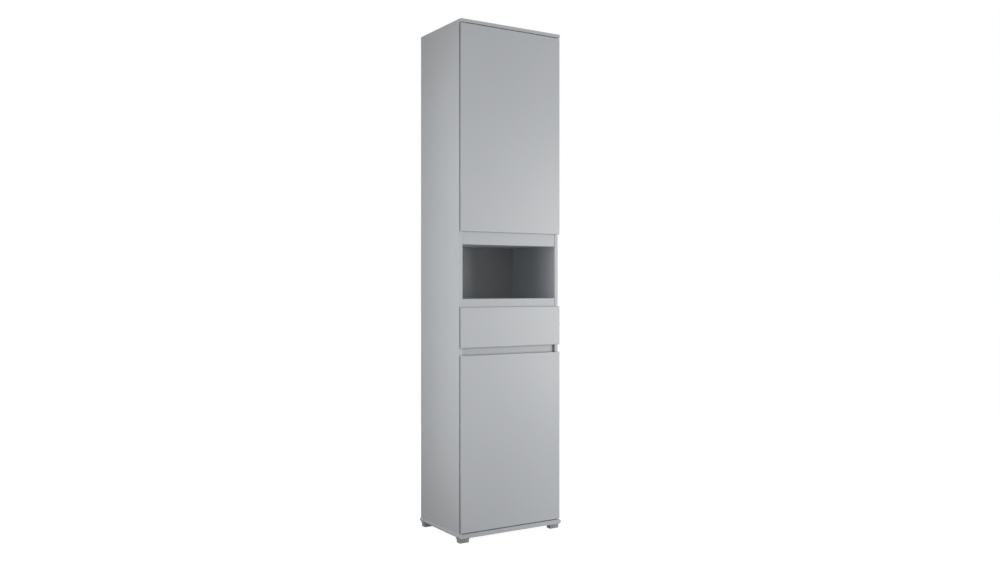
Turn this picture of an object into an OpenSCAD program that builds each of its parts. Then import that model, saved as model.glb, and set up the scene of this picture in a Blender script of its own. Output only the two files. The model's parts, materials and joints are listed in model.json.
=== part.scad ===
// Tall free-standing bathroom storage cabinet: upper door, open niche, drawer and lower door.
// +X right, -Y front, +Z up; the origin is on the floor under the middle of the cabinet.

/* [Cabinet] */
// Width over the side panels
cabinet_w = 438; // [400:1:520]
// Depth from the faces of the fronts to the rear edges
cabinet_d = 314; // [310:1:380]
// Height from the floor to the top
cabinet_h = 1900; // [1850:1:2050]
// How far the rounded ends of the base stand out past the side panels
base_overhang = 5; // [2:1:10]

/* [Heights of the front] */
// Height of the feet
foot_h = 18; // [14:1:30]
// Height of the lower door
lower_door_h = 642; // [600:1:700]
// Height of the grip recess between the lower door and the drawer
grip_recess_h = 29; // [22:1:40]
// Height of the drawer front
drawer_front_h = 146; // [140:1:180]
// Visible height of the rail under the niche
niche_sill_h = 31; // [24:1:40]
// Clear height of the niche
niche_h = 199; // [160:1:240]
// Visible height of the rail over the niche
niche_lintel_h = 47; // [30:1:60]

/* [Boards] */
// Thickness of the side panels
side_t = 15; // [15:1:18]
// Thickness of the fixed boards and rails
board_t = 15; // [15:1:18]
// Thickness of the adjustable shelves
shelf_t = 15; // [12:1:18]
// Thickness of the top panel
top_t = 12; // [12:1:18]
// Thickness of the base panel
base_t = 16; // [12:1:22]
// Thickness of the doors and the drawer front
front_t = 12; // [12:1:16]
// Thickness of the back panels and the drawer bottom
back_t = 3; // [3:0.5:5]
// Thickness of the boards of the drawer box
drawer_board_t = 12; // [10:1:15]

/* [Fronts] */
// Gap behind the fronts
front_gap = 2; // [2:0.1:3]
// Gap over and under the fronts
seam = 3; // [1.5:0.1:4]
// How far the fronts stay inside the outer faces of the side panels
side_reveal = 1; // [0.5:0.1:2]
// Width of the finger bevel along the opening edge of a front
grip_bevel = 8; // [6:0.5:8]
// Small chamfer on the other edges of the fronts
edge_ease = 1; // [0.5:0.1:1.5]
// Small chamfer on the front edges of the side panels, rails, shelves and top
board_ease = 0.6; // [0.3:0.1:1]
// How far the rails reach behind a front
rail_lap = 10; // [8:1:15]
// How far the rails of the niche stand back from the side panels' front edges
rail_setback = 1.5; // [0.5:0.1:4]
// How far the grip rail stands back from the side panels' front edges
grip_setback = 8; // [5:1:15]

/* [Shelves] */
// Number of shelves behind the upper door
upper_shelves = 2; // [1:1:2]
// Gap between a shelf and a side panel
shelf_play = 1; // [0.5:0.1:2]
// How far a shelf stands back from the side panels' front edges
shelf_setback = 20; // [16:1:40]
// Diameter of a shelf pin
pin_d = 5; // [4:0.5:6]
// Distance between shelf pin holes
pin_pitch = 32; // [25:1:40]
// Depth of a shelf pin hole
pin_hole_depth = 10; // [8:0.5:11]
// Length of a shelf pin that carries the shelf
pin_reach = 8; // [6:0.5:12]
// Distance of the pin rows from the front and rear edges of a shelf
pin_row_inset = 32; // [25:1:60]

/* [Hinges] */
// Diameter of a hinge cup
cup_d = 26; // [26:0.5:30]
// Depth of a hinge cup in the door
cup_depth = 10; // [9.8:0.1:10.2]
// Wood between a hinge cup and the edge of the door
cup_tab = 2.5; // [2.4:0.05:2.7]
// Distance of the hinge pin from the edge of the door
hinge_pin_inset = 5.6; // [5.4:0.05:5.7]
// Distance of the hinge pin from the back of the door
hinge_pin_depth = 7.2; // [7.1:0.05:7.4]
// Distance of the hinges from the ends of a door
hinge_end = 100; // [80:1:120]
// Distance of the middle of a mounting plate from the side panel's front edge
plate_inset = 38; // [37:1:45]
// Distance between the two screws of a mounting plate
plate_screw_pitch = 32; // [28:1:40]

/* [Drawer] */
// Length of the drawer box
drawer_box_l = 260; // [256:1:275]
// Height of the drawer box
drawer_box_h = 100; // [70:1:102]
// Length of the drawer runners
runner_l = 250; // [220:1:252]
// Space for a runner between the drawer box and a side panel
runner_space = 12.5; // [12.5:0.1:14]
// Diameter of the runner rollers
roller_d = 18; // [16:0.5:18]
// Width of a runner roller
roller_w = 7; // [5:0.5:7]
// Depth of the groove for the drawer bottom
bottom_groove = 5; // [3:0.5:7]

/* [Feet and wall fixing] */
// Width of a foot's upper plate
foot_w = 42; // [34:1:60]
// Depth of a foot's upper plate
foot_d = 28; // [24:1:50]
// How far a foot stands back from the edges of the base
foot_inset = 4; // [2:1:12]
// Step between a foot's upper plate and its block
foot_step = 2; // [1:0.5:4]
// Width of the wall bracket
bracket_w = 30; // [24:1:50]
// Length of each leg of the wall bracket
bracket_leg = 32; // [28:1:45]
// Diameter of the hole for the wall screw
wall_hole_d = 6; // [5:0.5:8]

/* [Hidden] */
$fn = 48;

white = [0.74, 0.75, 0.77];
steel = [0.66, 0.67, 0.69];
foot_grey = [0.42, 0.43, 0.45];
runner_white = [0.86, 0.87, 0.87];
nylon = [0.9, 0.9, 0.88];
beech = [0.78, 0.62, 0.42];

// Clearances
touch = 0.05;
play = 0.3;
bore_play = 0.08;

// Places across, along and up
x_out = cabinet_w / 2;
x_in = x_out - side_t;
y_front = -cabinet_d / 2;
y_back = cabinet_d / 2;
y_front_inner = y_front + front_t;
y_carcass = y_front_inner + front_gap;
y_boards = y_back - back_t;
z_base = foot_h;
z_base_top = z_base + base_t;
z_lower_door = z_base_top + seam;
z_lower_door_top = z_lower_door + lower_door_h;
z_drawer_front = z_lower_door_top + grip_recess_h;
z_drawer_front_top = z_drawer_front + drawer_front_h;
z_niche_floor = z_drawer_front_top + niche_sill_h;
z_niche_top = z_niche_floor + niche_h;
z_upper_door = z_niche_top + niche_lintel_h;
z_top = cabinet_h - top_t;
z_upper_door_top = z_top - seam;

// Fixed boards: lower face of each
z_divider = z_lower_door_top - rail_lap;
z_sill_board = z_niche_floor - board_t;
z_lintel_board = z_niche_top;
y_rail = y_carcass + rail_setback;
y_rail_back = y_rail + board_t;
y_grip_rail = y_carcass + grip_setback;
y_grip_back = y_grip_rail + board_t;

// Back panels
rebate_w = side_t / 2;
x_back = x_in + rebate_w - play;
z_back_joint = z_lintel_board + board_t / 2;

// Shelves
z_upper_room = z_lintel_board + board_t;
upper_step = (z_top - z_upper_room) / (upper_shelves + 1);
upper_shelf_z = [for (i = [1:upper_shelves]) z_upper_room + i * upper_step];
lower_shelf_z = (z_base_top + z_divider) / 2;
shelf_z = concat(upper_shelf_z, [lower_shelf_z]);
y_shelf = y_carcass + shelf_setback;
pin_rows = [y_shelf + pin_row_inset, y_boards - pin_row_inset];
pin_steps = [-2:2];

// Dowels and cam fittings
dowel_d = 8;
dowel_in_side = 9;
dowel_in_board = 20;
cam_d = 15;
cam_depth = 12.5;
cam_centre = 24;
cam_bolt_d = 5;
cam_bolt_in = 10;
cam_bolt_cover = 3;
cam_bolt_in_top = top_t - cam_bolt_cover;
cam_slot_w = 2;
cam_slot_depth = 2;
cam_front_inset = 20;
cam_back_inset = 35;
fitting_pitch = 32;
cam_rows = [y_grip_back + cam_front_inset, y_boards - cam_back_inset];
dowel_rows = [cam_rows[0] + fitting_pitch, cam_rows[1] - fitting_pitch];

// Back panel nails
nail_d = 1.4;
nail_head_d = 3.2;
nail_head_t = 0.8;
nail_l = 18;
nail_x = x_in + rebate_w / 2;
nail_step = 220;
nail_end = 40;

// Hinges, in a frame at the right side panel's inner front corner that is turned half round:
// local x runs out of the side panel into the cabinet, local y runs forwards
door_edge = -(side_t - side_reveal);
hinge_x = door_edge + hinge_pin_inset;
hinge_y = front_gap + hinge_pin_depth;
cup_x = door_edge + cup_tab + cup_d / 2;
cup_wall = 0.5;
flange_t = 1;
ear_r = 6;
ear_x = cup_x + 4;
ear_z = cup_d / 2 + 6;
cup_screw_r = 1.6;
cup_screw_l = front_t * 0.6;
cup_head_r = 2.9;
cup_head_t = 0.6;
lug_w = 5;
lug_t = 2.5;
lug_over_pin = 2.2;
lug_gap = 0.2;
pin_r = 1;
knuckle_r = 1.8;
knuckle_half = 4;
pin_half = 6.9;
arm_t = 1.8;
arm_gap = 0.8;
arm_half = 6;
arm_cheek = 1.2;
neck_over_pin = 0.6;
arm_bend_y = -7;
arm_rise = 8.5;
arm_end = -(plate_inset + 24);
cheek_rise = 4;
plate_t = 1.8;
plate_front = -(plate_inset - 14);
plate_end = -(plate_inset + 20);
plate_wing = 6;
plate_half = plate_screw_pitch / 2 + 6;
block_half = arm_half - arm_cheek - touch;
fix_screw_y = [-(plate_inset - 7), -(plate_inset + 10)];
fix_screw_r = 2;
fix_head_r = 3.2;
fix_head_h = 1.6;
fix_slot_w = 1;
fix_slot_l = 4.4;
wood_screw_r = 1.8;
wood_head_r = 3.4;
wood_head_t = 1.6;
wood_screw_l = 11;
plate_head_t = 1.2;
upper_hinge_z = [z_upper_door + hinge_end, z_upper_door_top - hinge_end];
lower_hinge_z = [z_lower_door + hinge_end, z_lower_door_top - hinge_end];
hinge_z = concat(upper_hinge_z, lower_hinge_z);

// Door bumpers
bumper_r = 3;
bumper_t = front_gap - play;
bumper_x = -x_in - bumper_r;
bumper_end = 25;

// Drawer box and runners
box_lift = 6;
bottom_lift = 8;
back_drop = 12;
z_box = z_drawer_front + rail_lap + box_lift;
box_x = x_in - runner_space;
y_box_back = y_front_inner + drawer_box_l;
z_bottom = z_box + bottom_lift;
steel_t = 1.2;
roller_r = roller_d / 2;
roller_gap = 0.25;
roller_inset = 3;
roller_rim = 1.5;
roller_hub = 0.6;
roller_groove = 1;
lip_inset = 2.5;
lip_rise = 6.8;
lip_x = x_in - lip_inset;
z_lip = z_box + roller_d + lip_rise;
z_roller = z_lip - roller_gap - roller_r;
z_track = z_roller - roller_r - roller_gap - steel_t;
lip_play = 0.8;
z_track_top = z_lip + steel_t + lip_play;
track_reach = 10.4;
track_top_reach = 9;
track_stop_h = 5;
runner_setback = 2;
roller_end = 12;
y_runner = y_carcass + runner_setback;
y_cabinet_roller = y_runner + roller_end;
y_drawer_roller = y_runner + runner_l - roller_end;
y_track = y_cabinet_roller + roller_d / 2 + 5;
roller_x = x_in - roller_inset - roller_w / 2;
axle_r = 2;
axle_head_r = 3.4;
axle_head_t = 0.6;
runner_screw_end = 35;
runner_head_t = 0.6;
runner_screw_y = [y_runner + runner_screw_end, y_runner + runner_l / 2,
  y_runner + runner_l - runner_screw_end];
drawer_screw_y = [y_runner + runner_screw_end, y_runner + runner_l - runner_screw_end];
drawer_screw_r = 1.5;
drawer_screw_in = 7;
drawer_screw_head_r = 3;
drawer_screw_head_t = 1;
front_screw_x = [-box_x / 2, box_x / 2];
front_screw_z = [z_box + drawer_box_h / 3, z_box + drawer_box_h * 3 / 4];
front_screw_in = front_t * 0.65;

// Feet
foot_plate_t = 5;
foot_front_inset = foot_inset + 3;
foot_x = x_out + base_overhang - foot_inset - foot_w / 2;
foot_y_front = y_front + foot_front_inset + foot_d / 2;
foot_y_back = y_back - foot_inset - foot_d / 2;
foot_screw_x = foot_w / 4;
foot_screw_in = 10;
foot_recess_r = 4.2;

// Wall bracket
bracket_t = 2;
bracket_screw_x = bracket_w / 4;
bracket_screw_in = 9;
z_wall_hole = z_top - bracket_leg * 0.6;

// A board between the low and high values of x, y and z
module board(x, y, z) {
  translate([x[0], y[0], z[0]])
    cube([x[1] - x[0], y[1] - y[0], z[1] - z[0]]);
}

// A board across the cabinet with its front edges eased
module eased_board(x, y, z, ease) {
  translate([x[0], 0, 0])
    rotate([90, 0, 90])
      linear_extrude(x[1] - x[0])
        polygon([
          [y[0], z[0] + ease],
          [y[0] + ease, z[0]],
          [y[1], z[0]],
          [y[1], z[1]],
          [y[0] + ease, z[1]],
          [y[0], z[1] - ease]
        ]);
}

// A cylinder along X, from x to x + l
module rod_x(x, y, z, l, r) {
  translate([x, y, z])
    rotate([0, 90, 0])
      cylinder(h = l, r = r);
}

// A cylinder along Y, from y to y + l
module rod_y(x, y, z, l, r) {
  translate([x, y, z])
    rotate([-90, 0, 0])
      cylinder(h = l, r = r);
}

// A cylinder along Z, from z to z + l
module rod_z(x, y, z, l, r) {
  translate([x, y, z])
    cylinder(h = l, r = r);
}

// The right half and its mirror image
module both_sides() {
  children();
  mirror([1, 0, 0])
    children();
}

// Dowels at the ends of the fixed boards and of the side panels, on the right half
module dowels_right(grow) {
  for (y = dowel_rows) {
    for (z = [z_divider, z_sill_board, z_lintel_board])
      rod_x(x_in - dowel_in_board - grow, y, z + board_t / 2, dowel_in_side + dowel_in_board + 2 * grow,
        dowel_d / 2 + grow);
    rod_z(x_in + side_t / 2, y, z_top - dowel_in_board - grow, dowel_in_board + top_t / 2 + 2 * grow,
      dowel_d / 2 - 1 + grow);
    rod_z(x_in + side_t / 2, y, z_base_top - base_t / 2 - grow,
      dowel_in_board + base_t / 2 + 2 * grow, dowel_d / 2 - 1 + grow);
  }
}

// Cam discs on the right half: under the divider and the sill board, on top of the lintel board,
// and in the inner face of the side panel at its two ends
module cams_right(grow) {
  for (y = cam_rows) {
    for (z = [z_divider, z_sill_board])
      rod_z(x_in - cam_centre, y, z - grow, cam_depth + 2 * grow, cam_d / 2 + grow);
    rod_z(x_in - cam_centre, y, z_lintel_board + board_t - cam_depth - grow, cam_depth + 2 * grow,
      cam_d / 2 + grow);
    for (z = [z_top - cam_centre, z_base_top + cam_centre])
      rod_x(x_in - grow, y, z, cam_depth + 2 * grow, cam_d / 2 + grow);
  }
}

// Shanks of the cam bolts on the right half, from inside the cam discs into the neighbour board
module cam_shanks_right(grow) {
  for (y = cam_rows) {
    for (z = [z_divider, z_sill_board, z_lintel_board])
      rod_x(x_in - cam_centre - cam_d / 4, y, z + board_t / 2,
        cam_centre + cam_d / 4 + cam_bolt_in + grow, cam_bolt_d / 2 + grow);
    rod_z(x_in + side_t / 2, y, z_top - cam_centre - cam_d / 4,
      cam_centre + cam_d / 4 + cam_bolt_in_top + grow, cam_bolt_d / 2 + grow);
    rod_z(x_in + side_t / 2, y, z_base_top - cam_bolt_in - grow,
      cam_centre + cam_d / 4 + cam_bolt_in + grow, cam_bolt_d / 2 + grow);
  }
}

// All the holes for dowels and cam fittings
module fitting_holes() {
  both_sides() {
    dowels_right(touch);
    cams_right(touch);
    cam_shanks_right(touch);
  }
}

// Pins of the adjustable shelves on the right half, or their rows of holes
module pin_holes_right() {
  for (z = shelf_z)
    for (y = pin_rows)
      for (i = pin_steps)
        rod_x(x_in - 1, y, z - pin_d / 2 - touch + i * pin_pitch, pin_hole_depth + 1, pin_d / 2 + touch);
}

// Where the nails stand: along both side panels and along the rear edges of the fixed boards
nail_span = z_top - z_base_top - 2 * nail_end;
nail_count = floor(nail_span / nail_step);
nail_z = [for (i = [0:nail_count]) z_base_top + nail_end + i * nail_span / nail_count];
nail_board_z = [z_divider + board_t / 2, z_sill_board + board_t / 2,
  z_back_joint - board_t / 4, z_back_joint + board_t / 4];
nail_board_x = [-x_in * 0.4, x_in * 0.4];

module nails(grow) {
  both_sides()
    for (z = nail_z)
      nail(nail_x, z, grow);
  for (z = nail_board_z)
    for (x = nail_board_x)
      nail(x, z, grow);
}

module nail(x, z, grow) {
  rod_y(x, y_back - nail_l - grow, z, nail_l, nail_d / 2 + grow);
  rod_y(x, y_back - nail_head_t - grow, z, nail_head_t + grow + (grow > 0 ? 1 : 0),
    nail_head_d / 2 + grow);
}

// Screws of the cabinet runners and of the mounting plates, or their holes
module screw_x(x, y, z, grow) {
  rod_x(x - touch, y, z, wood_screw_l + touch, wood_screw_r + grow);
}

module runner_screw_holes_right() {
  for (y = runner_screw_y)
    screw_x(x_in, y, z_roller, touch);
}

module plate_screw_holes() {
  for (z = hinge_z)
    for (s = [-1, 1])
      screw_x(x_in, y_carcass + plate_inset, z + s * plate_screw_pitch / 2, touch);
}

// The plan of the right side panel, with its front edges eased
module side_plan() {
  polygon([
    [x_in, y_carcass + board_ease],
    [x_in + board_ease, y_carcass],
    [x_out - board_ease, y_carcass],
    [x_out, y_carcass + board_ease],
    [x_out, y_back],
    [x_in, y_back]
  ]);
}

// A side panel in the right-hand place
module side_panel_body() {
  difference() {
    translate([0, 0, z_base_top])
      linear_extrude(z_top - z_base_top)
        side_plan();
    board([x_in - 1, x_in + rebate_w], [y_boards, y_back + 1], [z_base_top - 1, z_top + 1]);
    pin_holes_right();
    dowels_right(touch);
    cams_right(touch);
    cam_shanks_right(touch);
    runner_screw_holes_right();
    for (z = nail_z)
      nail(nail_x, z, touch);
  }
}

module side_panel_left() {
  color(white)
    mirror([1, 0, 0])
      side_panel_body();
}

module side_panel_right() {
  color(white)
    difference() {
      side_panel_body();
      plate_screw_holes();
    }
}

// The side edges of the top are eased as its front edge is
module top_panel() {
  color(white)
    difference() {
      intersection() {
        eased_board([-x_out, x_out], [y_front, y_back], [z_top, cabinet_h], board_ease);
        translate([0, y_back, 0])
          rotate([90, 0, 0])
            linear_extrude(cabinet_d)
              top_outline();
      }
      fitting_holes();
      bracket_screw_set(touch);
    }
}

module top_outline() {
  polygon([
    [-x_out, z_top + board_ease],
    [-x_out + board_ease, z_top],
    [x_out - board_ease, z_top],
    [x_out, z_top + board_ease],
    [x_out, cabinet_h - board_ease],
    [x_out - board_ease, cabinet_h],
    [-x_out + board_ease, cabinet_h],
    [-x_out, cabinet_h - board_ease]
  ]);
}

// The base has full round ends that stand out past the side panels
module base_panel() {
  end_x = x_out + base_overhang - base_t / 2;
  color(white)
    difference() {
      translate([0, y_back, z_base + base_t / 2])
        rotate([90, 0, 0])
          linear_extrude(cabinet_d) {
            square([2 * end_x, base_t], center = true);
            for (s = [-1, 1])
              translate([s * end_x, 0])
                circle(base_t / 2);
          }
      fitting_holes();
      foot_screw_set(touch);
    }
}

module fixed_board(z, y) {
  color(white)
    difference() {
      board([-x_in, x_in], [y, y_boards], [z, z + board_t]);
      fitting_holes();
      nails(touch);
    }
}

module niche_lintel_board() {
  fixed_board(z_lintel_board, y_rail_back);
}

module niche_sill_board() {
  fixed_board(z_sill_board, y_rail_back);
}

module divider_board() {
  fixed_board(z_divider, y_grip_back);
}

module niche_lintel_rail() {
  color(white)
    eased_board([-x_in, x_in], [y_rail, y_rail_back], [z_niche_top, z_upper_door + rail_lap],
      board_ease);
}

module niche_sill_rail() {
  color(white)
    eased_board([-x_in, x_in], [y_rail, y_rail_back], [z_drawer_front_top - rail_lap, z_niche_floor],
      board_ease);
}

module grip_rail() {
  color(white)
    eased_board([-x_in, x_in], [y_grip_rail, y_grip_back], [z_divider, z_drawer_front + rail_lap],
      board_ease);
}

module back_panel(z) {
  color(white)
    difference() {
      board([-x_back, x_back], [y_boards, y_back], z);
      nails(touch);
      rod_y(0, y_boards - 1, z_wall_hole, back_t + 2, wall_hole_d / 2 + 1);
    }
}

module back_panel_upper() {
  back_panel([z_back_joint + touch, z_top - touch]);
}

module back_panel_lower() {
  back_panel([z_base_top + touch, z_back_joint - touch]);
}

module back_panel_nails() {
  color(steel)
    nails(0);
}

module shelf_board(z) {
  color(white)
    eased_board([-x_in + shelf_play, x_in - shelf_play], [y_shelf, y_boards - shelf_play],
      [z, z + shelf_t], board_ease);
}

module upper_shelf_boards() {
  for (z = upper_shelf_z)
    shelf_board(z);
}

module lower_shelf_board() {
  shelf_board(lower_shelf_z);
}

// Plain steel pins under the shelves
module shelf_pins() {
  color(steel)
    both_sides()
      for (z = shelf_z)
        for (y = pin_rows)
          rod_x(x_in - pin_reach, y, z - pin_d / 2 - touch, pin_reach + pin_hole_depth - 1, pin_d / 2);
}

module wood_dowels() {
  color(beech)
    both_sides()
      dowels_right(0);
}

// Cam discs with a slot for the screwdriver and a bore for the bolt
module cam_discs() {
  color(steel)
    difference() {
      both_sides()
        cams_right(0);
      both_sides() {
        cam_shanks_right(touch);
        cam_slots_right();
      }
    }
}

module cam_slots_right() {
  slot_l = cam_d * 0.7;
  for (y = cam_rows) {
    for (z = [z_divider, z_sill_board])
      translate([x_in - cam_centre, y, z])
        cube([slot_l, cam_slot_w, 2 * cam_slot_depth], center = true);
    translate([x_in - cam_centre, y, z_lintel_board + board_t])
      cube([slot_l, cam_slot_w, 2 * cam_slot_depth], center = true);
    for (z = [z_top - cam_centre, z_base_top + cam_centre])
      translate([x_in, y, z])
        cube([2 * cam_slot_depth, cam_slot_w, slot_l], center = true);
  }
}

module cam_bolts() {
  color(steel)
    both_sides()
      cam_shanks_right(0);
}

// The plan of a front: its left rear edge has the finger bevel, the other corners are eased
module front_plan() {
  xl = -x_out + side_reveal;
  xr = x_out - side_reveal;
  polygon([
    [xl, y_front + edge_ease],
    [xl + edge_ease, y_front],
    [xr - edge_ease, y_front],
    [xr, y_front + edge_ease],
    [xr, y_front_inner - edge_ease],
    [xr - edge_ease, y_front_inner],
    [xl + grip_bevel, y_front_inner],
    [xl, y_front_inner - grip_bevel]
  ]);
}

// The side view of a front, with its upper and lower edges eased
module front_profile(z0, z1) {
  polygon([
    [y_front, z0 + edge_ease],
    [y_front + edge_ease, z0],
    [y_front_inner - edge_ease, z0],
    [y_front_inner, z0 + edge_ease],
    [y_front_inner, z1 - edge_ease],
    [y_front_inner - edge_ease, z1],
    [y_front + edge_ease, z1],
    [y_front, z1 - edge_ease]
  ]);
}

module front_board(z0, z1) {
  intersection() {
    translate([0, 0, z0])
      linear_extrude(z1 - z0)
        front_plan();
    rotate([90, 0, 90])
      linear_extrude(2 * cabinet_w, center = true)
        front_profile(z0, z1);
  }
}

// Puts the turned local hinge frame at the height of a hinge
module at_hinge(z) {
  translate([x_in, y_carcass, z])
    rotate([0, 0, 180])
      children();
}

module cup_holes(heights) {
  for (z = heights)
    at_hinge(z) {
      rod_y(cup_x, front_gap - 1, 0, cup_depth + 1 + touch, cup_d / 2 + touch);
      for (s = [-1, 1])
        rod_y(ear_x, front_gap - 1, s * ear_z, 1 + front_t * 0.7, cup_screw_r + touch);
    }
}

module upper_door() {
  color(white)
    difference() {
      front_board(z_upper_door, z_upper_door_top);
      cup_holes(upper_hinge_z);
    }
}

module lower_door() {
  color(white)
    difference() {
      front_board(z_lower_door, z_lower_door_top);
      cup_holes(lower_hinge_z);
    }
}

// A hinge cup: a round pot with a flange, two screw ears and two lugs for the pin
module hinge_cup() {
  inner_r = cup_d / 2 - cup_wall;
  floor_y = front_gap + cup_depth;
  difference() {
    union() {
      rod_y(cup_x, front_gap, 0, cup_depth, cup_d / 2);
      translate([0, front_gap, 0])
        rotate([90, 0, 0])
          linear_extrude(flange_t)
            cup_flange();
    }
    difference() {
      rod_y(cup_x, front_gap - flange_t - 1, 0, cup_depth + flange_t + 1 - cup_wall, inner_r);
      for (s = [-1, 1])
        translate([hinge_x - 0.6 * lug_w, hinge_y - lug_over_pin,
            s * ((knuckle_half + pin_half) / 2 + lug_gap) - lug_t / 2])
          cube([lug_w, floor_y - hinge_y + lug_over_pin, lug_t]);
    }
    hinge_pin_rod(pin_r + 0.01);
    for (s = [-1, 1])
      rod_y(ear_x, front_gap - flange_t - 1, s * ear_z, flange_t + 2, cup_screw_r + touch);
  }
}

// The flange's outline; its sheet is drawn with the height axis downwards
module cup_flange() {
  translate([cup_x, 0])
    circle(cup_d / 2);
  for (s = [-1, 1])
    translate([ear_x, s * ear_z])
      circle(ear_r);
  translate([ear_x - ear_r, -ear_z])
    square([2 * ear_r, 2 * ear_z]);
}

module hinge_pin_rod(r) {
  rod_z(hinge_x, hinge_y, -pin_half, 2 * pin_half, r);
}

module upper_hinge_cups() {
  color(steel)
    for (z = upper_hinge_z)
      at_hinge(z)
        hinge_cup();
}

module lower_hinge_cups() {
  color(steel)
    for (z = lower_hinge_z)
      at_hinge(z)
        hinge_cup();
}

module upper_hinge_pins() {
  color(steel)
    for (z = upper_hinge_z)
      at_hinge(z)
        hinge_pin_rod(pin_r);
}

module lower_hinge_pins() {
  color(steel)
    for (z = lower_hinge_z)
      at_hinge(z)
        hinge_pin_rod(pin_r);
}

// Screws that hold a cup's ears to the door
module cup_screw_pair() {
  for (s = [-1, 1]) {
    rod_y(ear_x, front_gap - flange_t, s * ear_z, cup_screw_l, cup_screw_r);
    rod_y(ear_x, front_gap - flange_t - cup_head_t, s * ear_z, cup_head_t, cup_head_r);
  }
}

module upper_cup_screws() {
  color(steel)
    for (z = upper_hinge_z)
      at_hinge(z)
        cup_screw_pair();
}

module lower_cup_screws() {
  color(steel)
    for (z = lower_hinge_z)
      at_hinge(z)
        cup_screw_pair();
}

// The goose-neck arm: a knuckle on the pin inside the cup, a neck that comes out past the side
// panel's edge, and a channel that lies over the mounting plate
module hinge_arm() {
  neck_y = hinge_y - neck_over_pin;
  difference() {
    union() {
      rod_z(hinge_x, hinge_y, -knuckle_half, 2 * knuckle_half, knuckle_r);
      board([hinge_x, arm_gap + arm_t], [neck_y, neck_y + arm_t], [-knuckle_half, knuckle_half]);
      board([arm_gap, arm_gap + arm_t], [arm_bend_y - arm_t, neck_y + arm_t],
        [-knuckle_half, knuckle_half]);
      board([arm_gap, arm_rise + arm_t], [arm_bend_y - arm_t, arm_bend_y], [-arm_half, arm_half]);
      board([arm_rise, arm_rise + arm_t], [arm_end, arm_bend_y], [-arm_half, arm_half]);
      for (z = [-arm_half, arm_half - arm_cheek])
        board([cheek_rise, arm_rise + arm_t], [arm_end, arm_bend_y], [z, z + arm_cheek]);
    }
    rod_z(hinge_x, hinge_y, -knuckle_half - 1, 2 * knuckle_half + 2, pin_r + touch);
    for (y = fix_screw_y)
      rod_x(arm_rise - 1, y, 0, arm_t + 2, fix_screw_r + touch);
  }
}

module hinge_arms() {
  color(steel)
    for (z = hinge_z)
      at_hinge(z)
        hinge_arm();
}

// A mounting plate with two screw wings and the block that the arm lies on
module mounting_plate() {
  difference() {
    union() {
      board([0, plate_t], [plate_end, plate_front], [-arm_half, arm_half]);
      board([0, plate_t], [-plate_inset - plate_wing, -plate_inset + plate_wing],
        [-plate_half + plate_wing, plate_half - plate_wing]);
      for (s = [-1, 1])
        rod_x(0, -plate_inset, s * (plate_half - plate_wing), plate_t, plate_wing);
      board([0, arm_rise], [plate_end, plate_front], [-block_half, block_half]);
    }
    for (s = [-1, 1])
      rod_x(-1, -plate_inset, s * plate_screw_pitch / 2, plate_t + 2, wood_screw_r + touch);
    for (y = fix_screw_y)
      rod_x(plate_t, y, 0, arm_rise, fix_screw_r + touch);
  }
}

module mounting_plates() {
  color(steel)
    for (z = hinge_z)
      at_hinge(z)
        mounting_plate();
}

// Screws that hold the mounting plates to the side panel
module plate_screws() {
  color(steel)
    for (z = hinge_z)
      for (s = [-1, 1]) {
        rod_x(x_in - plate_t, y_carcass + plate_inset, z + s * plate_screw_pitch / 2,
          plate_t + wood_screw_l - 1, wood_screw_r);
        rod_x(x_in - plate_t - plate_head_t, y_carcass + plate_inset, z + s * plate_screw_pitch / 2,
          plate_head_t, wood_head_r);
      }
}

// Screws that hold and adjust the arms on their plates
module hinge_fixing_screws() {
  color(steel)
    for (z = hinge_z)
      at_hinge(z)
        for (y = fix_screw_y) {
          rod_x(plate_t + 1, y, 0, arm_rise + arm_t - plate_t - 1, fix_screw_r);
          difference() {
            rod_x(arm_rise + arm_t, y, 0, fix_head_h, fix_head_r);
            translate([arm_rise + arm_t + fix_head_h, y, 0])
              cube([fix_head_h, fix_slot_w, fix_slot_l], center = true);
          }
        }
}

// Soft round bumpers on the back of a front, over the left side panel's edge
module bumper_row(heights, xs) {
  color("gainsboro")
    for (z = heights)
      for (x = xs)
        rod_y(x, y_front_inner, z, bumper_t, bumper_r);
}

module upper_door_bumpers() {
  bumper_row([z_upper_door + bumper_end, z_upper_door_top - bumper_end], [bumper_x]);
}

module lower_door_bumpers() {
  bumper_row([z_lower_door + bumper_end, z_lower_door_top - bumper_end], [bumper_x]);
}

module drawer_bumpers() {
  bumper_row([z_drawer_front_top - bumper_end], [bumper_x, x_in + bumper_r]);
}

module drawer_front() {
  color(white)
    difference() {
      front_board(z_drawer_front, z_drawer_front_top);
      front_screw_set(touch);
    }
}

// A side of the drawer box in the right-hand place, with the groove for the bottom
module drawer_side_body() {
  difference() {
    board([box_x - drawer_board_t, box_x], [y_front_inner, y_box_back], [z_box, z_box + drawer_box_h]);
    board([box_x - drawer_board_t - 1, box_x - drawer_board_t + bottom_groove],
      [y_front_inner - 1, y_box_back + 1], [z_bottom, z_bottom + back_t + 2 * touch]);
    drawer_runner_screw_set(touch);
  }
}

module drawer_side_right() {
  color(white)
    drawer_side_body();
}

module drawer_side_left() {
  color(white)
    mirror([1, 0, 0])
      drawer_side_body();
}

module drawer_inner_front() {
  inner_x = box_x - drawer_board_t;
  color(white)
    difference() {
      board([-inner_x, inner_x], [y_front_inner, y_front_inner + drawer_board_t],
        [z_bottom + back_t + 2 * touch, z_box + drawer_box_h]);
      front_screw_set(touch);
    }
}

module drawer_back() {
  inner_x = box_x - drawer_board_t;
  color(white)
    board([-inner_x, inner_x], [y_box_back - drawer_board_t, y_box_back],
      [z_bottom + back_t + 2 * touch, z_box + drawer_box_h - back_drop]);
}

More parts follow.
